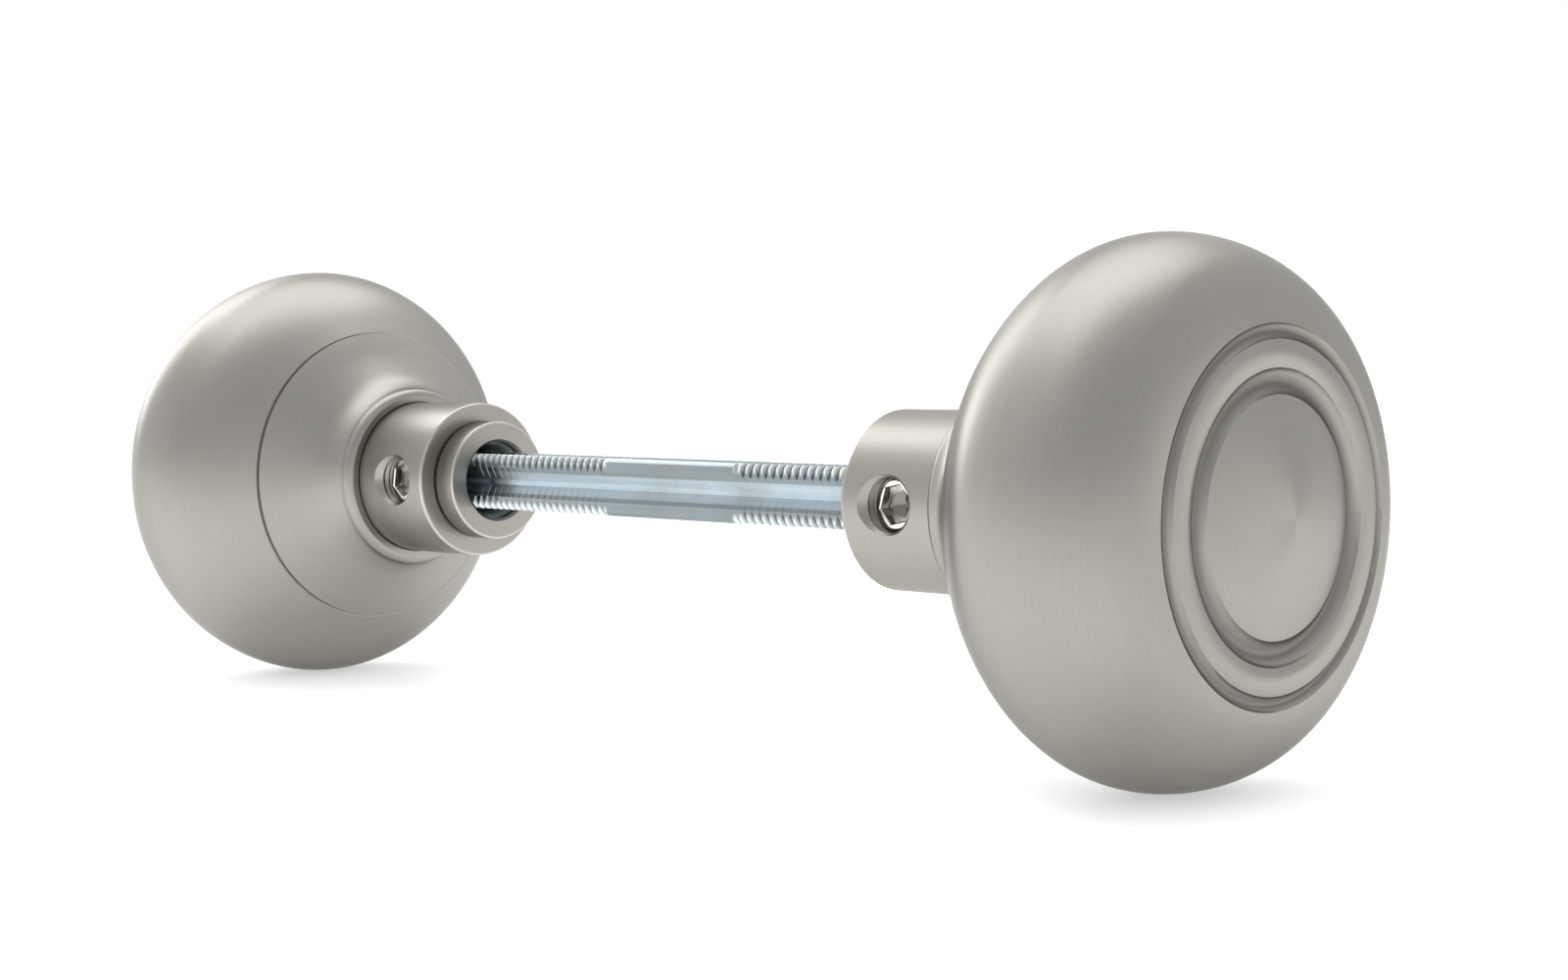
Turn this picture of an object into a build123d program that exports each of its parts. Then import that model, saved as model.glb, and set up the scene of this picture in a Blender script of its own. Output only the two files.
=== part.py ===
from build123d import *
import os

# A pair of round door knobs on a threaded square spindle.
# Millimetres. +X runs along the spindle from the left knob to the right knob, +Z is up,
# and the origin is on the spindle's axis, midway between the two shank shoulders.
# Each knob is drawn in a local frame whose X = 0 is its shank shoulder and whose +X points to
# its face. The left knob is the right one mirrored, with a longer nose.

# ---- driving dimensions: the pair ----
DOOR_GAP = 76.0           # between the two shank shoulders, as the pair is set
HEAD_D = 57.15            # 2 1/4 in
FACE_X = 51.6             # shank shoulder to the middle of the face
EQUATOR_X = 36.6          # shank shoulder to the widest circle
SEAM_X = 23.15            # joint between the outer shell and the back cap
SEAM_R = 19.92
SEAM_TANGENT = (-0.64, -0.77)
SEAM_GROOVE_W = 0.28      # hairline where the shell and the cap meet
SEAM_ANGLE = 5.0          # turns the seam's groove so that its edge points into the wall
WALL = 1.2                # pressed shell and cap
FLOOR_T = 1.5             # floor of the cap, where the shank is clamped

# ---- face rings ----
OUTER_GROOVE_R = (17.6, 19.2)
INNER_GROOVE_R = (12.15, 14.8)
OUTER_GROOVE_DEPTH = 0.55
INNER_GROOVE_DEPTH = 0.85
GROOVE_EDGE_X = 49.5      # outer edge of the outer groove
LAND_X = 49.7             # edges of the raised ring between the grooves
LAND_CROWN = 0.25
DOME_EDGE_X = 49.65
DOME_FLAT_R = 0.5         # small turned flat in the middle of the face
GROOVE_WALL = 1.15        # metal left under the inner groove
BULGE_PULL = 6.0          # how far the head's front curve keeps straight on at each of its ends
BULGE_LEAN = 0.1          # slope of that curve at the groove, towards the shank

# ---- shank ----
SHANK_D = 20.4
PILOT_D = 15.6            # nose that turns in the rose
PILOT_L = {"left": 3.6, "right": 2.4}
MOUTH_D = 10.2            # hole in the end of the nose
MOUTH_L = 1.2
SEAT_X = 16.0             # the shank rests on the cap's floor here
TAIL_D = 16.4             # threaded tail inside the head
TAIL_END_X = 27.0
EDGE_BREAK = 0.35
NOSE_ROUND = 0.2          # turned outer edges of the nose and the shoulder
SHOULDER_ROUND = 0.3
RELIEF_W = 0.35           # fine groove round the root of the nose
RELIEF_DEPTH = 0.3

# ---- lip of the back cap, around the shank ----
LIP_R = (10.32, 12.05)
LIP_BASE_X = 14.8         # the flare ends here, at the lip's outer radius
LIP_CREST_R = 11.1        # the rounding ends here, on the flat top
LIP_TOP_X = 13.6
FLARE_DEPTH_END = 0.79    # share of the flare that the wall's inner face follows

# ---- spindle: 9/32 in square with 3/8-20 thread on its corners ----
SPINDLE_L = 114.3         # 4 1/2 in
SQUARE = 7.14             # across flats
THREAD_D = 9.525
THREAD_PITCH = 1.27
PLAIN_X = (-8.5, 14.0)    # stretch with no thread
THREAD_DEPTH = 0.78
CREST_W = 0.16
CHANNEL_W = 3.8           # shallow V channel along each flat
CHANNEL_BOTTOM_W = 0.6
CHANNEL_DEPTH = 0.8

# ---- thread insert, a steel bush in the shank ----
INSERT_D = 12.4
INSERT_BORE_D = 9.6
INSERT_END_X = 24.0

# ---- set screw, M6 ----
SCREW_D = 6.0
SCREW_HOLE_D = 6.1
SCREW_X = 6.25            # from the shank shoulder
SCREW_HEAD_R = 8.3        # distance of its outer end from the spindle axis, backed off
SCREW_CHAMFER = 0.4
SCREW_TIP_R = 4.95        # the tip just clears the spindle's corners
SCREW_TIP_D = 2.8
SCREW_CONE_L = 1.45
SOCKET_AF = 3.97
SOCKET_DEPTH = 1.5
SOCKET_TURN = 20.0        # degrees the socket is turned about the screw
HOLE_SINK = 0.85          # countersink at the hole's mouth
HOLE_RIDGES = 3           # thread ridges in the wall of the hole, below the countersink
HOLE_PITCH = 0.8
HOLE_RIDGE_DEPTH = 0.3
HOLE_RUNOUT = 0.1

# ---- clamping stack inside the head ----
WASHER_BORE_D = 16.8
PLAIN_WASHER_D = 22.4
LOCK_WASHER_D = 23.4
WASHER_T = 1.2
LOCK_SLIT = 1.6
NUT_AF = 20.0
NUT_T = 5.5
PIN_D = 1.4
PIN_CIRCLE_R = 9.2
PIN_START_X = 13.9
PIN_GAP = 0.1             # pins stop this far short of the plain washer
RING_T = 1.0              # stiffening ring behind the seam
RING_GAP = 0.05
RING_REACH = (0.7, 0.35)  # share of the back line and of the cap's flare that it covers
INSET_STEPS = 8

CAP_FLOOR_X = SEAT_X + FLOOR_T
HALF_GAP = DOOR_GAP / 2


def turned(profile):
    """A solid of revolution about the spindle's axis."""
    return revolve(profile, axis=Axis.X, revolution_arc=360)


def tube(x0, x1, outer_d, inner_d):
    ring = Circle(outer_d / 2) - Circle(inner_d / 2)
    return extrude(Plane.YZ.offset(x0) * ring, amount=x1 - x0)


def groove(start, end, depth):
    """An arc that dips below the line from start to end."""
    middle = ((start[0] + end[0]) / 2 - depth, (start[1] + end[1]) / 2)
    return ThreePointArc(start, middle, end)


def face_line():
    """The face from its centre to the outer edge of the outer groove."""
    dome_edge = (DOME_EDGE_X, INNER_GROOVE_R[0])
    land_inner = (LAND_X, INNER_GROOVE_R[1])
    land_outer = (LAND_X, OUTER_GROOVE_R[0])
    groove_edge = (GROOVE_EDGE_X, OUTER_GROOVE_R[1])
    flat_edge = (FACE_X, DOME_FLAT_R)
    line = Line((FACE_X, 0), flat_edge)
    line += TangentArc(flat_edge, dome_edge, tangent=(0, 1))
    line += groove(dome_edge, land_inner, INNER_GROOVE_DEPTH)
    line += groove(land_inner, land_outer, -LAND_CROWN)
    line += groove(land_outer, groove_edge, OUTER_GROOVE_DEPTH)
    return line


def bulge_line():
    """From the outer groove out to the widest circle."""
    return Bezier(
        (GROOVE_EDGE_X, OUTER_GROOVE_R[1]),
        (GROOVE_EDGE_X - BULGE_LEAN * BULGE_PULL, OUTER_GROOVE_R[1] + BULGE_PULL),
        (EQUATOR_X + BULGE_PULL, HEAD_D / 2),
        (EQUATOR_X, HEAD_D / 2),
    )


def back_line():
    """From the widest circle round to the seam."""
    return Spline(
        (EQUATOR_X, HEAD_D / 2), (33.1, 28.05), (30.05, 26.65), (27.35, 24.6), (SEAM_X, SEAM_R),
        tangents=((-1, 0), SEAM_TANGENT),
    )


def flare_line():
    """The back cap's surface, from the seam down to the lip round the shank."""
    return Spline(
        (SEAM_X, SEAM_R), (20.95, 17.0), (19.2, 14.85), (17.6, 13.25), (16.0, 12.35),
        (LIP_BASE_X, LIP_R[1]), tangents=(SEAM_TANGENT, (-1, -0.1)),
    )


def inset(line, depth, start=0.0, end=1.0):
    """A smooth line that runs at the given depth behind part of a surface line."""
    spots = []
    for step in range(INSET_STEPS + 1):
        place = start + (end - start) * step / INSET_STEPS
        spot = line @ place
        along = line % place
        spots.append((spot.X - depth * along.Y, spot.Y + depth * along.X))
    return Spline(*spots, tangents=(line % start, line % end))


def seam_groove():
    """A square bar, on edge, that runs round the seam and breaks both rims."""
    bar = Pos(SEAM_X, SEAM_R) * Rot(0, 0, SEAM_ANGLE) * Rectangle(SEAM_GROOVE_W, SEAM_GROOVE_W)
    return turned(bar)


def outer_shell():
    face_inside = (FACE_X - WALL, 0)
    dome_inside = (DOME_EDGE_X - WALL, INNER_GROOVE_R[0] - WALL)
    flat_x = LAND_X - INNER_GROOVE_DEPTH - GROOVE_WALL
    bulge_inside = inset(bulge_line(), WALL)
    back_inside = inset(back_line(), WALL)
    inside = Polyline(
        bulge_inside @ 0, (flat_x, OUTER_GROOVE_R[0]), (flat_x, INNER_GROOVE_R[0]), dome_inside,
    )
    outline = [face_line(), bulge_line(), back_line(), bulge_inside, back_inside, inside]
    outline.append(Line(back_line() @ 1, back_inside @ 1))
    outline.append(TangentArc(face_inside, dome_inside, tangent=(0, 1)))
    outline.append(Line(face_inside, (FACE_X, 0)))
    return turned(make_face([edge for line in outline for edge in line.edges()])) - seam_groove()


def back_cap():
    """The flared cap, with its floor under the shank and a rounded lip round it."""
    flare_inside = inset(flare_line(), WALL, end=FLARE_DEPTH_END)
    lip_side = (LIP_BASE_X, LIP_R[1])
    lip_crest = (LIP_TOP_X, LIP_CREST_R)
    floor_r = TAIL_D / 2
    outline = [flare_line(), flare_inside, Line(flare_line() @ 0, flare_inside @ 0)]
    outline.append(TangentArc(lip_side, lip_crest, tangent=(-1, 0)))
    outline.append(Polyline(
        lip_crest, (LIP_TOP_X, LIP_R[0]), (SEAT_X, LIP_R[0]), (SEAT_X, floor_r),
        (CAP_FLOOR_X, floor_r), (CAP_FLOOR_X, (flare_inside @ 1).Y), flare_inside @ 1,
    ))
    cap = turned(make_face([edge for line in outline for edge in line.edges()]))
    return cap - pin_bodies() - seam_groove()


def stiffening_ring():
    """A pressed ring that backs the seam and holds the shell to the cap."""
    sides = []
    for depth in (WALL + RING_GAP, WALL + RING_GAP + RING_T):
        sides.append((inset(back_line(), depth, start=RING_REACH[0]),
                      inset(flare_line(), depth, end=RING_REACH[1])))
    outer, inner = sides
    outline = [*outer, *inner, Line(outer[0] @ 0, inner[0] @ 0), Line(outer[1] @ 1, inner[1] @ 1)]
    return turned(make_face([edge for line in outline for edge in line.edges()]))


def rounded(profile, corner, radius):
    """The profile with one corner rounded."""
    picked = []
    for vertex in profile.vertices():
        if abs(vertex.X - corner[0]) + abs(vertex.Y - corner[1]) < 1e-4:
            picked.append(vertex)
    return fillet(picked, radius)


def shank_body(pilot_l):
    mouth_r = MOUTH_D / 2
    nose_r = PILOT_D / 2
    shank_r = SHANK_D / 2
    mouth_end_x = MOUTH_L - pilot_l
    outline = Polyline(
        (-pilot_l, mouth_r + EDGE_BREAK), (-pilot_l, nose_r), (-RELIEF_W, nose_r),
        (-RELIEF_W, nose_r - RELIEF_DEPTH), (0, nose_r - RELIEF_DEPTH), (0, shank_r),
        (SEAT_X, shank_r), (SEAT_X, TAIL_D / 2), (TAIL_END_X, TAIL_D / 2),
        (TAIL_END_X, INSERT_D / 2), (mouth_end_x, INSERT_D / 2), (mouth_end_x, mouth_r),
        (EDGE_BREAK - pilot_l, mouth_r), close=True,
    )
    profile = rounded(make_face(outline), (-pilot_l, nose_r), NOSE_ROUND)
    return turned(rounded(profile, (0, shank_r), SHOULDER_ROUND))


def screw_frame():
    """Turns a solid of revolution about X so that X runs out along the set screw's line."""
    return Pos(SCREW_X, 0, 0) * Rot(0, 0, -90)


def screw_hole():
    """The set screw's hole through the shank, with ridges in its wall and a countersunk mouth."""
    hole_r = SCREW_HOLE_D / 2
    sink_start = SHANK_D / 2 - HOLE_SINK
    sink_end = SHANK_D / 2 + 1
    outline = [(0, 0), (0, hole_r)]
    for ridge in range(HOLE_RIDGES, 0, -1):
        valley_x = sink_start - HOLE_RUNOUT - ridge * HOLE_PITCH
        outline += [(valley_x, hole_r), (valley_x + HOLE_PITCH / 2, hole_r + HOLE_RIDGE_DEPTH)]
    outline += [(sink_start - HOLE_RUNOUT, hole_r), (sink_start, hole_r)]
    outline += [(sink_end, hole_r + sink_end - sink_start), (sink_end, 0)]
    return screw_frame() * turned(make_face(Polyline(*outline, close=True)))


def shank(pilot_l):
    return shank_body(pilot_l) - screw_hole() - pin_bodies()


def thread_insert(pilot_l):
    bush = tube(MOUTH_L - pilot_l, INSERT_END_X, INSERT_D, INSERT_BORE_D)
    return bush - screw_hole()


def set_screw():
    screw_r = SCREW_D / 2
    tip_r = SCREW_TIP_D / 2
    outline = Polyline(
        (SCREW_TIP_R, 0), (SCREW_TIP_R, tip_r), (SCREW_TIP_R + SCREW_CONE_L, screw_r),
        (SCREW_HEAD_R - SCREW_CHAMFER, screw_r), (SCREW_HEAD_R, screw_r - SCREW_CHAMFER),
        (SCREW_HEAD_R, 0), close=True,
    )
    hexagon = Rot(0, 0, SOCKET_TURN) * RegularPolygon(SOCKET_AF / 2, 6, major_radius=False)
    socket_plane = Plane(origin=(SCREW_X, -SCREW_HEAD_R, 0), z_dir=(0, 1, 0))
    return screw_frame() * turned(make_face(outline)) - extrude(socket_plane * hexagon,
                                                                amount=SOCKET_DEPTH)


def plain_washer():
    return tube(CAP_FLOOR_X, CAP_FLOOR_X + WASHER_T, PLAIN_WASHER_D, WASHER_BORE_D)


def lock_washer():
    start = CAP_FLOOR_X + WASHER_T
    ring = tube(start, start + WASHER_T, LOCK_WASHER_D, WASHER_BORE_D)
    slit = Pos(start + WASHER_T / 2, 0, LOCK_WASHER_D / 2)
    return ring - slit * Box(2 * WASHER_T, LOCK_SLIT, LOCK_WASHER_D / 2)


def shank_nut():
    start = CAP_FLOOR_X + 2 * WASHER_T
    hexagon = RegularPolygon(NUT_AF / 2, 6, major_radius=False) - Circle(TAIL_D / 2)
    return extrude(Plane.YZ.offset(start) * hexagon, amount=NUT_T)


def pin_bodies():
    """Two pins that keep the cap from turning on the shank, one above and one below."""
    length = CAP_FLOOR_X - PIN_GAP - PIN_START_X
    pins = []
    for side in (1, -1):
        centre = Pos(PIN_START_X + length / 2, 0, side * PIN_CIRCLE_R)
        pins.append(centre * Rot(0, 90, 0) * Cylinder(PIN_D / 2, length))
    return Compound(pins)


def bar_section():
    """The square with its corners cut to the thread's circle and a channel along each side."""
    section = Rectangle(SQUARE, SQUARE) & Circle(THREAD_D / 2)
    half = SQUARE / 2
    channel = make_face(Polyline(
        (-CHANNEL_W / 2, half), (-CHANNEL_BOTTOM_W / 2, half - CHANNEL_DEPTH),
        (CHANNEL_BOTTOM_W / 2, half - CHANNEL_DEPTH), (CHANNEL_W / 2, half), close=True,
    ))
    for turn in range(4):
        section -= Rot(0, 0, 90 * turn) * channel
    return section


def ridged_rod(start, end, lead_in):
    """A round rod with ridges at the thread's pitch, the first one lead_in past the start."""
    crest_r = THREAD_D / 2
    root_r = crest_r - THREAD_DEPTH
    outline = [(start, 0), (start, root_r)]
    middle = start + lead_in + THREAD_PITCH / 2
    while middle + THREAD_PITCH / 2 < end:
        outline.append((middle - (THREAD_PITCH - CREST_W) / 2, root_r))
        outline.append((middle - CREST_W / 2, crest_r))
        outline.append((middle + CREST_W / 2, crest_r))
        outline.append((middle + (THREAD_PITCH - CREST_W) / 2, root_r))
        middle += THREAD_PITCH
    outline += [(end, root_r), (end, 0)]
    return turned(make_face(Polyline(*outline, close=True)))


def threaded_end(start):
    """From start to the bar's end. Each corner's ridges sit a quarter pitch after the last's."""
    section = bar_section()
    end = SPINDLE_L / 2
    corner = Pos(SQUARE / 2, SQUARE / 2) * Rectangle(SQUARE, SQUARE)
    bar = None
    for turn in range(4):
        quarter = extrude(Plane.YZ.offset(start) * (section & Rot(0, 0, 90 * turn) * corner),
                          amount=end - start)
        quarter &= ridged_rod(start, end, turn * THREAD_PITCH / 4)
        bar = quarter if bar is None else bar + quarter
    return bar


def spindle():
    left, right = PLAIN_X
    plain = extrude(Plane.YZ.offset(left) * bar_section(), amount=right - left)
    return plain + threaded_end(right) + Rot(0, 0, 180) * threaded_end(-left)


def knob_pieces(pilot_l):
    return {
        "outer_shell": outer_shell(),
        "back_cap": back_cap(),
        "stiffening_ring": stiffening_ring(),
        "shank": shank(pilot_l),
        "thread_insert": thread_insert(pilot_l),
        "set_screw": set_screw(),
        "plain_washer": plain_washer(),
        "lock_washer": lock_washer(),
        "shank_nut": shank_nut(),
        "drive_pins": pin_bodies(),
    }


os.makedirs("parts", exist_ok=True)
export_step(spindle(), "parts/spindle.step")
for side, pilot_l in PILOT_L.items():
    for name, piece in knob_pieces(pilot_l).items():
        placed = Pos(HALF_GAP, 0, 0) * piece
        if side == "left":
            placed = mirror(placed, about=Plane.YZ)
        export_step(placed, f"parts/{side}_{name}.step")
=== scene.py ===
import math

import bmesh
import bpy
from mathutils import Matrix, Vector


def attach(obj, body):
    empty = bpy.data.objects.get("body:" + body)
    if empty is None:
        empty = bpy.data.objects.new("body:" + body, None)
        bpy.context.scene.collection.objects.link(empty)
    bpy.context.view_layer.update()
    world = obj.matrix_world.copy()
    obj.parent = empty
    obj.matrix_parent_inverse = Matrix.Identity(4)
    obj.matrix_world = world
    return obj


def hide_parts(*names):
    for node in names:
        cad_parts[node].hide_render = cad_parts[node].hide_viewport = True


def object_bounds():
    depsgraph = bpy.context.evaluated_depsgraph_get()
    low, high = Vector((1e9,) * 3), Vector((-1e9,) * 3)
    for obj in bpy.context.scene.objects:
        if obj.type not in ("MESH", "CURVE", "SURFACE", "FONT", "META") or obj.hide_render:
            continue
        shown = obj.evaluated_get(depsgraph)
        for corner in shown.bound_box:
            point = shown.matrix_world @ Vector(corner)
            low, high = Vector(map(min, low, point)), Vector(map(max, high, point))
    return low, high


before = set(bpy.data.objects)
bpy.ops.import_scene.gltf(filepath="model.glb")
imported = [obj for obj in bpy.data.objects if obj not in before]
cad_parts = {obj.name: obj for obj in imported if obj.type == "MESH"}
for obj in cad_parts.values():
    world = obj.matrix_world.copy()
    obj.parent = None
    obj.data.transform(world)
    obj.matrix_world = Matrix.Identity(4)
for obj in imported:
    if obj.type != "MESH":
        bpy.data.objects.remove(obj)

cadLow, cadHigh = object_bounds()
mm = 0.001
print("frame loaded:", len(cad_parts), "pieces")

# Both knobs are placed from the shoulders of their necks.
pair = {
    "halfGap": 38.0,
    "sides": {"left": -1, "right": 1},
    "noseLength": {"left": 3.6, "right": 2.4},
}


# Rings of points are stitched to a skin. An end with one point closes as a fan.
def stitch(name, rings, smooth=False):
    mesh = bpy.data.meshes.new(name)
    work = bmesh.new()
    laid = [[work.verts.new([c * mm for c in point]) for point in ring] for ring in rings]
    for near, far in zip(laid, laid[1:]):
        count = max(len(near), len(far))
        for i in range(count):
            j = (i + 1) % count
            if len(near) == 1:
                work.faces.new((near[0], far[i], far[j]))
            elif len(far) == 1:
                work.faces.new((near[i], near[j], far[0]))
            else:
                work.faces.new((near[i], near[j], far[j], far[i]))
    bmesh.ops.recalc_face_normals(work, faces=work.faces)
    for face in work.faces:
        face.smooth = smooth
    work.to_mesh(mesh)
    work.free()
    piece = bpy.data.objects.new(name, mesh)
    bpy.context.scene.collection.objects.link(piece)
    return piece


# How far a thread's flank stands below its crest: 0 on the crest, 1 in the root.
def flank(along, angle, thread):
    turns = along / thread["pitch"] - angle / math.tau
    away = abs(turns - math.floor(turns) - 0.5) * thread["pitch"]
    flat = thread["crest"] / 2
    return min(1, max(0, (away - flat) / (thread["pitch"] / 2 - 2 * flat)))


def spread(start, end, count):
    return [start + (end - start) * i / count for i in range(count + 1)]


# The square bar with V channels and a right-hand thread cut in its corners.
spindle = {
    "length": 114.3, "acrossFlats": 7.14, "threadRadius": 4.7625,
    "channelWidth": 3.8, "channelBottom": 0.6, "channelDepth": 0.8,
    "plain": (-8.5, 14.0), "runOut": 1.1, "endChamfer": 0.7,
    "thread": {"pitch": 1.27, "crest": 0.14, "depth": 0.8},
    "stepsPerTurn": 12, "landSteps": 7,
}


def barAngles():
    half = spindle["acrossFlats"] / 2
    bottom = math.atan2(spindle["channelBottom"] / 2, half - spindle["channelDepth"])
    mouth = math.atan2(spindle["channelWidth"] / 2, half)
    corner = math.acos(half / spindle["threadRadius"])
    oneSide = [0, bottom] + spread(mouth, corner, spindle["landSteps"])
    quarter = [-a for a in reversed(oneSide[1:])] + oneSide + [math.pi / 4]
    return [quarterTurn * math.pi / 2 + a for quarterTurn in range(4) for a in quarter]


def barRadius(angle):
    half = spindle["acrossFlats"] / 2
    off = abs((angle + math.pi / 4) % (math.pi / 2) - math.pi / 4)
    radius = min(half / math.cos(off), spindle["threadRadius"])
    slope = spindle["channelDepth"] / (spindle["channelWidth"] - spindle["channelBottom"]) * 2
    side = (half - slope * spindle["channelWidth"] / 2) / (math.cos(off) - slope * math.sin(off))
    floor = (half - spindle["channelDepth"]) / math.cos(off)
    if math.tan(off) * half < spindle["channelWidth"] / 2:
        radius = min(radius, max(side, floor))
    return radius


def makeSpindle():
    thread = spindle["thread"]
    end = spindle["length"] / 2
    left, right = spindle["plain"]
    step = thread["pitch"] / spindle["stepsPerTurn"]
    stations = spread(-end, left, round((end + left) / step))
    stations += spread(right, end, round((end - right) / step))
    angles = barAngles()
    section = [barRadius(angle) for angle in angles]
    rings = [[(-end, 0, 0)]]
    for x in stations:
        fade = min(1, max(left - x, x - right, 0) / spindle["runOut"])
        cone = spindle["threadRadius"] - max(0, spindle["endChamfer"] - (end - abs(x)))
        ring = []
        for angle, bar in zip(angles, section):
            cut = spindle["threadRadius"] - thread["depth"] * fade * flank(x, angle, thread)
            radius = min(bar, cut, cone)
            ring.append((x, radius * math.cos(angle), radius * math.sin(angle)))
        rings.append(ring)
    rings.append([(end, 0, 0)])
    return stitch("spindleBar", rings)


bar = makeSpindle()
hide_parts("spindle")
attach(bar, "spindle")
print("spindle made:", len(bar.data.polygons), "faces")


# The steel bush in each neck, threaded inside and drilled for the set screw.
bush = {
    "outerRadius": 6.2, "boreRadius": 4.8, "end": 24.0, "noseToBush": 1.2,
    "thread": {"pitch": 1.27, "crest": 0.2, "depth": 0.5},
    "mouthChamfer": 0.6, "around": 72, "stepsPerTurn": 8,
    "screwHoleRadius": 3.05, "screwHolePlace": 6.25, "screwHoleAround": 48,
    "weldWithin": 1e-7,
}


# Joins the first and last ring of the wall, which lie on each other.
def weld(piece):
    work = bmesh.new()
    work.from_mesh(piece.data)
    bmesh.ops.remove_doubles(work, verts=work.verts, dist=bush["weldWithin"])
    bmesh.ops.recalc_face_normals(work, faces=work.faces)
    work.to_mesh(piece.data)
    work.free()


def makeBush(side, sign):
    thread = bush["thread"]
    start = pair["halfGap"] + bush["noseToBush"] - pair["noseLength"][side]
    end = pair["halfGap"] + bush["end"]
    around = [math.tau * i / bush["around"] for i in range(bush["around"])]
    count = round((end - start) / thread["pitch"] * bush["stepsPerTurn"])
    rings = []
    for x in spread(start, end, count):
        mouth = max(0, bush["mouthChamfer"] - (x - start), bush["mouthChamfer"] - (end - x))
        ring = []
        for angle in around:
            groove = thread["depth"] * (1 - flank(sign * x, angle, thread))
            radius = bush["boreRadius"] + max(groove, mouth)
            ring.append((sign * x, radius * math.cos(angle), radius * math.sin(angle)))
        rings.append(ring)
    for x in (end, start):
        rings.append([(sign * x, bush["outerRadius"] * math.cos(a), bush["outerRadius"] * math.sin(a))
                      for a in around])
    rings.append(rings[0])
    piece = stitch(side + "Bush", rings)
    weld(piece)
    drill(piece, screwDrill(side, sign))
    return piece


def screwDrill(side, sign):
    middle = sign * (pair["halfGap"] + bush["screwHolePlace"])
    radius = bush["screwHoleRadius"]
    turns = [math.tau * i / bush["screwHoleAround"] for i in range(bush["screwHoleAround"])]
    rings = [[(middle, 0, 0)]]
    for y in (0, -2 * bush["outerRadius"]):
        rings.append([(middle + radius * math.cos(a), y, radius * math.sin(a)) for a in turns])
    rings.append([(middle, -2 * bush["outerRadius"], 0)])
    return stitch(side + "Drill", rings)


def drill(piece, tool):
    cut = piece.modifiers.new("screwHole", "BOOLEAN")
    cut.operation = "DIFFERENCE"
    cut.solver = "EXACT"
    cut.object = tool
    seen = piece.evaluated_get(bpy.context.evaluated_depsgraph_get())
    drilled = bpy.data.meshes.new_from_object(seen)
    piece.modifiers.clear()
    piece.data = drilled
    bpy.data.objects.remove(tool)


for side, sign in pair["sides"].items():
    piece = makeBush(side, sign)
    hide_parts(side + "_thread_insert")
    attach(piece, side + "_knob")
    print(side, "bush made:", len(piece.data.polygons), "faces")


# The headless screw that locks the knob, with a hexagon socket and a cup point.
grub = {
    "place": 6.25, "outerEnd": 8.3, "tip": 4.95, "radius": 3.0, "tipRadius": 1.4,
    "cone": 1.45, "chamfer": 0.4, "cupDepth": 0.5, "around": 72,
    "thread": {"pitch": 0.8, "crest": 0.1, "depth": 0.3}, "stepsPerTurn": 12,
    "socket": 3.97, "socketDepth": 1.5, "socketTurn": {"left": 22, "right": 12},
    "socketBreak": 0.12, "drillDepth": 0.35, "drillStep": 0.25, "cupRim": 0.15, "rimLeft": 0.05,
}


def hexRadius(angle, acrossFlats, turn):
    off = (angle - math.radians(turn)) % (math.pi / 3) - math.pi / 6
    return acrossFlats / 2 / math.cos(off)


def makeGrub(side, sign):
    thread = grub["thread"]
    middle = sign * (pair["halfGap"] + grub["place"])
    turn = grub["socketTurn"][side]
    around = [math.radians(turn) + math.tau * i / grub["around"] for i in range(grub["around"])]

    def ring(height, radii):
        return [(middle + r * math.cos(a), -height, r * math.sin(a)) for r, a in zip(radii, around)]

    def evenRing(height, radius):
        return ring(height, [radius] * len(around))

    tip, tipRadius, radius = grub["tip"], grub["tipRadius"], grub["radius"]
    rings = [[(middle, -tip - grub["cupDepth"], 0)], evenRing(tip, tipRadius - grub["cupRim"])]
    rings.append(evenRing(tip, tipRadius))
    count = round((grub["outerEnd"] - tip) / thread["pitch"] * grub["stepsPerTurn"])
    for height in spread(tip, grub["outerEnd"], count)[1:]:
        cone = tipRadius + (radius - tipRadius) * (height - tip) / grub["cone"]
        top = radius - max(0, grub["chamfer"] - (grub["outerEnd"] - height))
        radii = [min(radius - thread["depth"] * flank(height, a, thread), cone, top) for a in around]
        rings.append(ring(height, radii))
    wall = [hexRadius(a, grub["socket"], turn) for a in around]
    mouth = [min(r + grub["socketBreak"], radius - grub["chamfer"] - grub["rimLeft"]) for r in wall]
    bottom = grub["outerEnd"] - grub["socketDepth"]
    rings.append(ring(grub["outerEnd"], mouth))
    rings.append(ring(grub["outerEnd"] - grub["socketBreak"], wall))
    rings.append(ring(bottom, wall))
    rings.append(evenRing(bottom, grub["socket"] / 2 - grub["drillStep"]))
    rings.append([(middle, -bottom + grub["drillDepth"], 0)])
    return stitch(side + "Grub", rings)


for side, sign in pair["sides"].items():
    piece = makeGrub(side, sign)
    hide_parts(side + "_set_screw")
    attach(piece, side + "_grub")
    print(side, "set screw made:", len(piece.data.polygons), "faces")


# Small helpers for the finishes.
def newFinish(name, look):
    material = bpy.data.materials.new(name)
    material.use_nodes = True
    shader = material.node_tree.nodes["Principled BSDF"]
    shader.inputs["Base Color"].default_value = (*look["colour"], 1)
    shader.inputs["Metallic"].default_value = look["metallic"]
    shader.inputs["Roughness"].default_value = look["roughness"]
    shader.inputs["Anisotropic"].default_value = look.get("anisotropic", 0)
    shader.inputs["Specular Tint"].default_value = (*look.get("edgeTint", (1, 1, 1)), 1)
    return material, shader


def node(material, kind, values=None, **settings):
    made = material.node_tree.nodes.new(kind)
    for key, value in settings.items():
        setattr(made, key, value)
    for key, value in (values or {}).items():
        if isinstance(value, bpy.types.NodeSocket):
            material.node_tree.links.new(value, made.inputs[key])
        else:
            made.inputs[key].default_value = value
    return made


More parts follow.
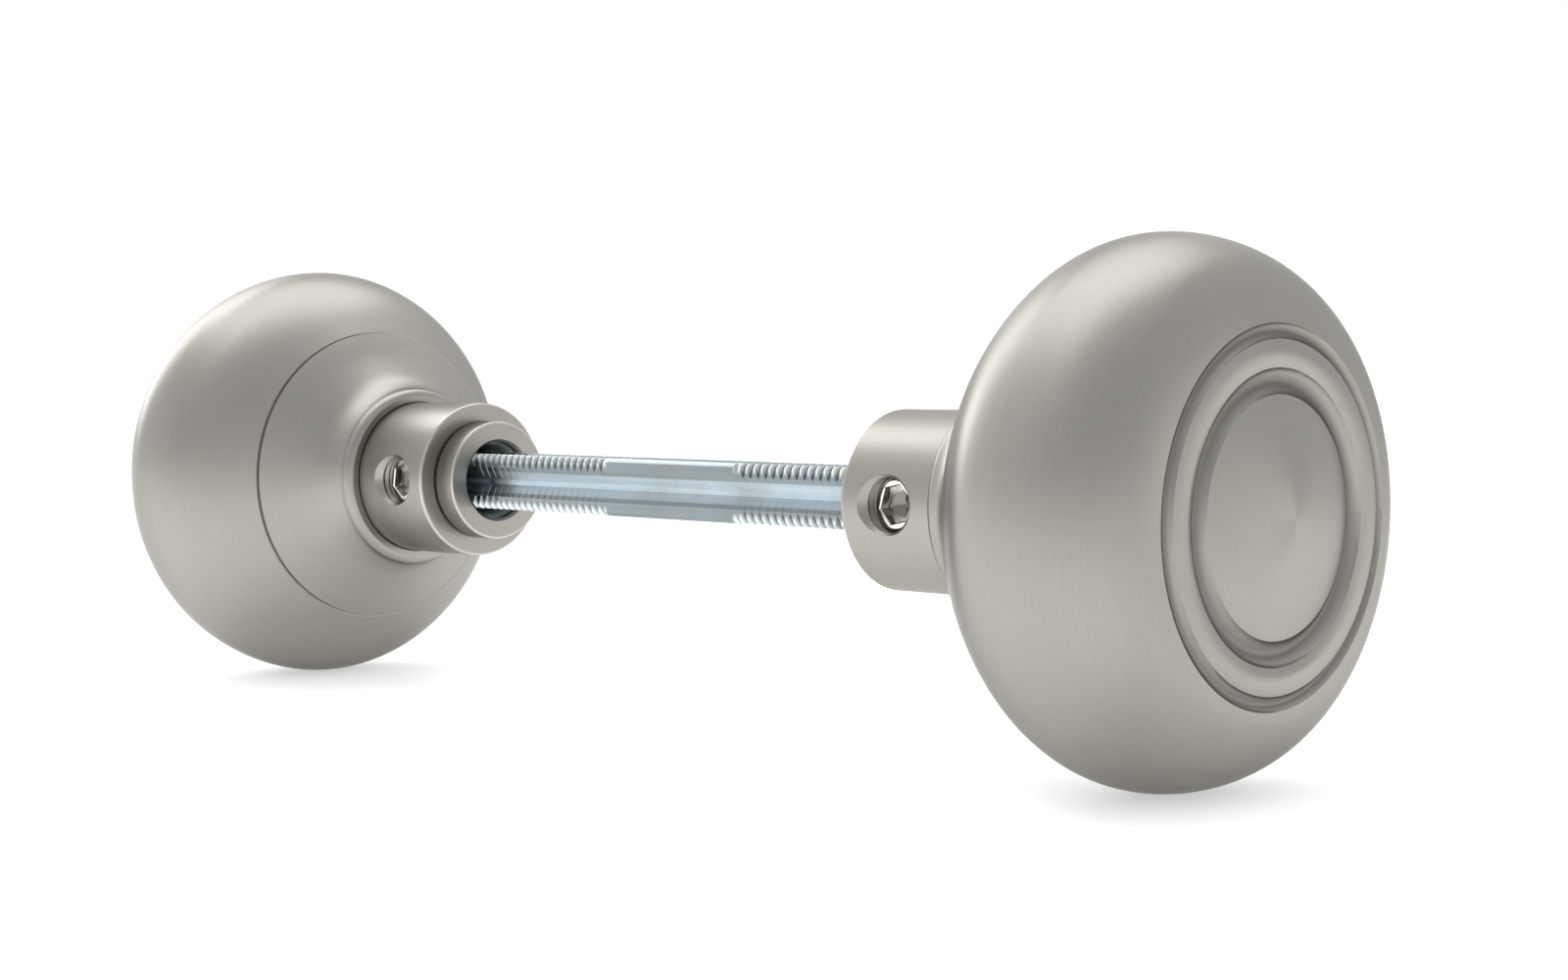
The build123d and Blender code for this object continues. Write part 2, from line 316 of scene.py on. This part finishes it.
def compute(material, operation, first, second=0.0):
    made = node(material, "ShaderNodeMath", {0: first, 1: second}, operation=operation)
    return made.outputs[0]


def remap(material, value, low, high, fromLow=0.0, fromHigh=1.0):
    made = node(material, "ShaderNodeMapRange", {
        "Value": value, "From Min": fromLow, "From Max": fromHigh, "To Min": low, "To Max": high})
    return made.outputs["Result"]


def blend(material, factor, colourA, colourB):
    made = node(material, "ShaderNodeMix", data_type="RGBA")
    material.node_tree.links.new(factor, made.inputs[0])
    for slot, colour in ((6, colourA), (7, colourB)):
        if isinstance(colour, bpy.types.NodeSocket):
            material.node_tree.links.new(colour, made.inputs[slot])
        else:
            made.inputs[slot].default_value = (*colour, 1)
    return made.outputs[2]


def shade(colour, factor):
    return tuple(min(1, c * factor) for c in colour)


def noise(material, coords, scale, detail, **more):
    values = {"Vector": coords, "Scale": scale, "Detail": detail, **more}
    return node(material, "ShaderNodeTexNoise", values).outputs["Fac"]


def times(material, first, second):
    return compute(material, "MULTIPLY", first, second)


def squareSum(material, first, second):
    return compute(material, "ADD", times(material, first, first), times(material, second, second))


# Height in metres of a relief that lies over the one before it.
def relief(material, height, depth, under=None):
    values = {"Height": height, "Strength": 1.0, "Distance": depth}
    if under is not None:
        values["Normal"] = under
    return node(material, "ShaderNodeBump", values).outputs["Normal"]


toMillimetres = 1000.0
brushing = {"noneWithin": 0.5, "fullFrom": 4.0}     # distances from the axis


# Distance from the spindle's axis and place along it, in millimetres.
# "fade" is 0 on the axis itself, where circles of brushing shrink to nothing.
def turnedPlace(material):
    coords = node(material, "ShaderNodeTexCoord").outputs["Object"]
    split = node(material, "ShaderNodeSeparateXYZ", {0: coords})
    x, y, z = split.outputs
    radius = compute(material, "POWER", squareSum(material, y, z), 0.5)
    radius = times(material, radius, toMillimetres)
    fade = remap(material, radius, 0.0, 1.0, brushing["noneWithin"], brushing["fullFrom"])
    return {"coords": coords, "x": times(material, x, toMillimetres), "radius": radius,
            "y": y, "z": z, "fade": fade}


# Lines left by a wheel that ran round the axis: fine across, long around.
def turnedLines(material, look, place):
    safe = compute(material, "MAXIMUM", place["radius"], brushing["noneWithin"])
    turns = toMillimetres * look["lineTurns"]
    join = node(material, "ShaderNodeCombineXYZ", {
        0: times(material, place["x"], look["lineFineness"]),
        1: times(material, compute(material, "DIVIDE", place["y"], safe), turns),
        2: times(material, compute(material, "DIVIDE", place["z"], safe), turns)})
    lines = node(material, "ShaderNodeTexNoise", {
        "Vector": join.outputs[0], "W": times(material, place["radius"], look["lineFineness"]),
        "Scale": 1.0, "Detail": 3.0, "Roughness": 0.6}, noise_dimensions="4D")
    offMiddle = compute(material, "SUBTRACT", lines.outputs["Fac"], 0.5)
    return compute(material, "ADD", times(material, offMiddle, place["fade"]), 0.5)


# How softly the masks begin and end, in millimetres. "grooveCore" is a share of half a groove.
softness = {"holeWall": 0.15, "holeEnd": 0.2, "grooveCore": 0.35, "face": 1, "cornerCore": 0.01}


# 1 inside the set screw's hole, which is painted darker as shade.
def paintedHoleShadeMask(material, look, place):
    across = compute(material, "SUBTRACT", compute(material, "ABSOLUTE", place["x"]), look["holePlace"])
    down = times(material, place["z"], toMillimetres)
    away = compute(material, "POWER", squareSum(material, across, down), 0.5)
    wall, end = look["holeRadius"], look["holeDeepest"]
    inside = remap(material, away, 1.0, 0.0, wall, wall + softness["holeWall"])
    deep = remap(material, place["radius"], 1.0, 0.0, end - softness["holeEnd"], end)
    return times(material, inside, deep)


# Painted shade in each ring groove of the face, strongest along the groove's middle.
def paintedGrooveShadeMask(material, look, place):
    mask = None
    for middle, half in look["grooves"]:
        away = compute(material, "ABSOLUTE", compute(material, "SUBTRACT", place["radius"], middle))
        core = half * softness["grooveCore"]
        here = remap(material, away, look["grooveAmount"], 0.0, core, half)
        mask = here if mask is None else compute(material, "ADD", mask, here)
    fromMiddle = compute(material, "ABSOLUTE", place["x"])
    edge = look["grooveFrom"]
    onFace = remap(material, fromMiddle, 0.0, 1.0, edge, edge + softness["face"])
    return times(material, mask, onFace)


# Painted highlight on the turned corners, strongest on each corner. A corner is (x, radius).
def paintedEdgeHighlightMask(material, look, place):
    reach = look["wornWidth"] ** 2
    mask = None
    for cornerX, cornerRadius in look["wornEdges"]:
        along = compute(material, "SUBTRACT", place["x"], cornerX)
        out = compute(material, "SUBTRACT", place["radius"], cornerRadius)
        squares = squareSum(material, along, out)
        here = remap(material, squares, look["wornAmount"], 0.0, softness["cornerCore"], reach)
        mask = here if mask is None else compute(material, "ADD", mask, here)
    return mask


def makeTurned(name, look):
    material, shader = newFinish(name, look)
    links = material.node_tree.links
    place = turnedPlace(material)
    coords = place["coords"]
    lines = turnedLines(material, look, place)
    grain = noise(material, coords, look["grainScale"], 4.0, Roughness=0.7)
    cloud = noise(material, coords, look["cloudScale"], 3.0, Roughness=0.5)
    scratch = noise(material, coords, look["scratchScale"], 2.0, Distortion=2.5)
    wave = noise(material, coords, look["waveScale"], 1.0)

    tone = blend(material, lines, shade(look["colour"], 1 - look["toneSpread"]),
                 shade(look["colour"], 1 + look["toneSpread"]))
    clouded = remap(material, cloud, 0.0, look["cloudAmount"], *look["cloudRange"])
    tone = blend(material, clouded, tone, look["cloudColour"])
    # Painted shade inside the set screw's hole.
    if "holeColour" in look:
        tone = blend(material, paintedHoleShadeMask(material, look, place), tone, look["holeColour"])
    # Painted highlight on the rounded corners.
    if "wornEdges" in look:
        tone = blend(material, paintedEdgeHighlightMask(material, look, place), tone, look["wornColour"])
    # Painted shade along the face's ring grooves.
    if "grooves" in look:
        tone = blend(material, paintedGrooveShadeMask(material, look, place), tone, look["grooveColour"])
    links.new(tone, shader.inputs["Base Color"])

    smoothest = look["roughness"] - look["roughSpread"]
    roughest = look["roughness"] + look["roughSpread"]
    rough = remap(material, cloud, smoothest, roughest, *look["roughRange"])
    scratched = remap(material, scratch, 0.0, 1.0, *look["scratchRange"])
    rough = compute(material, "ADD", rough, times(material, scratched, look["scratchRough"]))
    fine = remap(material, grain, -look["grainRough"], look["grainRough"], *look["roughRange"])
    rough = compute(material, "ADD", rough, fine)
    links.new(rough, shader.inputs["Roughness"])

    surface = relief(material, lines, look["lineDepth"])
    surface = relief(material, grain, look["grainDepth"], surface)
    surface = relief(material, wave, look["waveDepth"], surface)
    links.new(surface, shader.inputs["Normal"])
    if look["anisotropic"]:
        tangent = node(material, "ShaderNodeTangent", direction_type="RADIAL", axis="X")
        links.new(tangent.outputs["Tangent"], shader.inputs["Tangent"])
    return material


# Satin nickel of the heads, brushed round and round by hand, which leaves faint hollows.
# A "Range" is the stretch of a noise over which it takes effect.
headNickel = {
    "colour": (0.338, 0.326, 0.300), "metallic": 1.0, "roughness": 0.35, "anisotropic": 0.7,
    "edgeTint": (0.6, 0.6, 0.6), "lineFineness": 7.0, "lineTurns": 4.0, "lineDepth": 0.000007,
    "toneSpread": 0.09, "grainScale": 2600, "grainDepth": 0.000006, "grainRough": 0.03,
    "cloudScale": 34, "cloudAmount": 0.25, "cloudColour": (0.380, 0.367, 0.338),
    "cloudRange": (0.35, 0.75), "roughSpread": 0.045, "roughRange": (0.3, 0.7),
    "scratchScale": 260, "scratchRough": 0.08, "scratchRange": (0.70, 0.78),
    "waveScale": 55, "waveDepth": 0.00022,
    # The ring grooves of the face are painted darker as shade.
    "grooves": ((18.4, 0.8), (13.4, 1.25)), "grooveFrom": 84.0, "grooveAmount": 0.7,
    "grooveColour": (0.115, 0.110, 0.098),
}
# The same plating on the necks, which are turned smoother, with painted shade in the set screw's hole.
neckNickel = dict(headNickel, colour=(0.350, 0.333, 0.303), roughness=0.36, anisotropic=0.3,
                  lineFineness=11.0, lineDepth=0.000003, cloudAmount=0.12, roughSpread=0.02,
                  waveDepth=0.00006, holeColour=(0.28, 0.265, 0.24), holePlace=44.25,
                  holeRadius=3.42, holeDeepest=9.5,
                  # The corners listed next are painted lighter as highlights.
                  wornEdges=((-38.0, 10.2), (38.0, 10.2), (-34.4, 7.8), (35.6, 7.8),
                             (-34.4, 5.1), (35.6, 5.1)),
                  wornAmount=0.55, wornWidth=0.34, wornColour=(0.72, 0.70, 0.66))
# Plain steel pieces inside the heads.
plainSteel = dict(headNickel, colour=(0.36, 0.36, 0.365), roughness=0.33, anisotropic=0.3,
                  waveDepth=0.00004, cloudColour=(0.30, 0.285, 0.27), cloudAmount=0.5,
                  edgeTint=(1, 1, 1))
# Chalky zinc inside the bushes.
bushZinc = dict(headNickel, colour=(0.72, 0.74, 0.73), metallic=0.55, roughness=0.42,
                anisotropic=0.2, waveDepth=0.00003, cloudColour=(0.50, 0.50, 0.47),
                cloudAmount=0.5, edgeTint=(1, 1, 1))
# Bright nickel on the set screws, with painted shade in the socket.
grubNickel = dict(headNickel, colour=(0.78, 0.75, 0.70), roughness=0.12, anisotropic=0.0,
                  waveDepth=0.00002, cloudColour=(0.40, 0.375, 0.34), cloudAmount=0.4,
                  cloudScale=500, edgeTint=(1, 1, 1), roughSpread=0.04, lineDepth=0.000001,
                  holeColour=(0.20, 0.185, 0.165), holePlace=44.25, holeRadius=2.35,
                  holeDeepest=7.05)

# Zinc plate on the drawn bar: cool, glossy, with long draw lines and a faint blue passivation.
# The flat lands and the thread's roots are painted darker as shade, and the thread crests lighter as a
# painted highlight.
barZinc = {
    "colour": (0.45, 0.505, 0.525), "metallic": 1.0, "roughness": 0.2, "edgeTint": (0.85, 0.9, 0.92),
    "blue": (0.33, 0.44, 0.52), "dull": (0.29, 0.315, 0.31), "streakAcross": 2200, "streakAlong": 30,
    "streakRange": (0.35, 0.7), "streakDepth": 0.000005, "streakRough": (-0.03, 0.05),
    "patchScale": 90, "patchRange": (0.5, 0.75), "patchAmount": 0.6,
    "roughSpread": 0.07, "roughRange": (0.3, 0.7),
    # Painted shade on the lands and roots, and a painted highlight on the crests.
    "land": (0.20, 0.228, 0.232), "landFrom": (3.5, 3.65), "landAmount": 0.8,
    "crest": (0.78, 0.83, 0.85), "crestFrom": (4.25, 4.65),
    "plainMiddle": 2.75, "plainHalf": 11.2, "plainEnd": 0.5,
}


def makeBarZinc():
    look = barZinc
    material, shader = newFinish("barZinc", look)
    links = material.node_tree.links
    place = turnedPlace(material)
    stretched = node(material, "ShaderNodeMapping", {
        "Vector": place["coords"],
        "Scale": (look["streakAlong"], look["streakAcross"], look["streakAcross"])})
    streak = noise(material, stretched.outputs[0], 1.0, 4.0, Roughness=0.65)
    patch = noise(material, place["coords"], look["patchScale"], 5.0, Roughness=0.6)

    streaked = remap(material, streak, 0.0, 1.0, *look["streakRange"])
    patched = remap(material, patch, 0.0, look["patchAmount"], *look["patchRange"])
    landShade = remap(material, place["radius"], 0.0, look["landAmount"], *look["landFrom"])
    crestHighlight = remap(material, place["radius"], 0.0, 1.0, *look["crestFrom"])
    fromPlain = compute(material, "SUBTRACT", place["x"], look["plainMiddle"])
    threaded = remap(material, compute(material, "ABSOLUTE", fromPlain), 0.0, 1.0,
                     look["plainHalf"], look["plainHalf"] + look["plainEnd"])
    tone = blend(material, streaked, look["colour"], look["blue"])
    tone = blend(material, patched, tone, look["dull"])
    # Painted shade on the lands and the thread's roots.
    tone = blend(material, landShade, tone, look["land"])
    # Painted highlight on the crests of the thread.
    tone = blend(material, times(material, crestHighlight, threaded), tone, look["crest"])
    links.new(tone, shader.inputs["Base Color"])

    smoothest = look["roughness"] - look["roughSpread"]
    roughest = look["roughness"] + look["roughSpread"]
    rough = compute(material, "ADD",
                    remap(material, patch, smoothest, roughest, *look["roughRange"]),
                    remap(material, streak, *look["streakRough"], *look["roughRange"]))
    links.new(rough, shader.inputs["Roughness"])
    links.new(relief(material, streak, look["streakDepth"]), shader.inputs["Normal"])
    return material


finishes = {
    "head": makeTurned("headNickel", headNickel),
    "neck": makeTurned("neckNickel", neckNickel),
    "steel": makeTurned("plainSteel", plainSteel),
    "bush": makeTurned("bushZinc", bushZinc),
    "grub": makeTurned("grubNickel", grubNickel),
    "bar": makeBarZinc(),
}
pieceFinish = {"outer_shell": "head", "back_cap": "head", "shank": "neck", "set_screw": "grub",
               "thread_insert": "bush", "spindle": "bar"}


def dress(piece, finish):
    if not piece.material_slots:
        piece.data.materials.append(finishes[finish])
    for slot in piece.material_slots:
        slot.material = finishes[finish]


for name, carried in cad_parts.items():
    plainName = name.replace("left_", "").replace("right_", "")
    dress(carried, pieceFinish.get(plainName, "steel"))
dress(bar, "bar")
for side in pair["sides"]:
    dress(bpy.data.objects[side + "Bush"], "bush")
    dress(bpy.data.objects[side + "Grub"], "grub")
print("finishes laid on:", len(finishes))


# Floor, light and camera of a plain white studio.
studio = {
    "floorTone": (0.92, 0.92, 0.92), "floorSize": 8.0,
    "floorGlow": 0.42, "skyBright": 1.1, "skyDim": 0.62, "skyBlend": (-0.7, 0.6),
    "brightSide": (-0.7, 0.7, 0.15),
    "lamps": {
        "overhead": {"place": (-0.25, 0.1, 0.9), "size": (1.1, 0.8), "power": 4.2},
        "leftBack": {"place": (-0.9, 0.1, 0.45), "size": (0.35, 0.8), "power": 3.2},
    },
}
camera = {
    "place": (0.22526, -0.20711, 0.01431), "looks": (-0.7048, 0.7079, -0.0473),
    "lens": 57.1, "sensor": 36, "nearest": 0.01,
}


def layFloor():
    half = studio["floorSize"] / 2
    mesh = bpy.data.meshes.new("studioFloor")
    around = ((-half, -half), (half, -half), (half, half), (-half, half))
    corners = [(x, y, cadLow.z) for x, y in around]
    mesh.from_pydata(corners, [], [(0, 1, 2, 3)])
    floor = bpy.data.objects.new("studioFloor", mesh)
    bpy.context.scene.collection.objects.link(floor)
    look = {"colour": studio["floorTone"], "metallic": 0, "roughness": 0.9}
    paper, shader = newFinish("floorPaper", look)
    shader.inputs["Emission Color"].default_value = (1, 1, 1, 1)
    shader.inputs["Emission Strength"].default_value = studio["floorGlow"]
    floor.data.materials.append(paper)


def hangLamp(name, lamp):
    data = bpy.data.lights.new(name, "AREA")
    data.shape = "RECTANGLE"
    data.size, data.size_y = lamp["size"]
    data.energy = lamp["power"]
    hung = bpy.data.objects.new(name, data)
    hung.location = lamp["place"]
    hung.rotation_mode = "QUATERNION"
    hung.rotation_quaternion = (-Vector(lamp["place"])).to_track_quat("-Z", "Y")
    bpy.context.scene.collection.objects.link(hung)


# A white backdrop that dims gently towards the open side of the studio.
def lightSky():
    world = bpy.data.worlds.new("studioSky")
    bpy.context.scene.world = world
    world.use_nodes = True
    background = world.node_tree.nodes["Background"]
    background.inputs["Color"].default_value = (1, 1, 1, 1)
    coords = node(world, "ShaderNodeTexCoord").outputs["Generated"]
    facing = node(world, "ShaderNodeVectorMath", {0: coords, 1: studio["brightSide"]},
                  operation="DOT_PRODUCT").outputs["Value"]
    strength = remap(world, facing, studio["skyDim"], studio["skyBright"], *studio["skyBlend"])
    world.node_tree.links.new(strength, background.inputs["Strength"])


def setCamera():
    data = bpy.data.cameras.new("camera")
    data.lens = camera["lens"]
    data.sensor_width = camera["sensor"]
    data.clip_start = camera["nearest"]
    view = bpy.data.objects.new("camera", data)
    view.location = camera["place"]
    view.rotation_mode = "QUATERNION"
    view.rotation_quaternion = Vector(camera["looks"]).to_track_quat("-Z", "Y")
    bpy.context.scene.collection.objects.link(view)
    bpy.context.scene.camera = view


layFloor()
lightSky()
for name, lamp in studio["lamps"].items():
    hangLamp(name, lamp)
setCamera()
bpy.context.scene.view_settings.view_transform = "Standard"
print("studio ready")
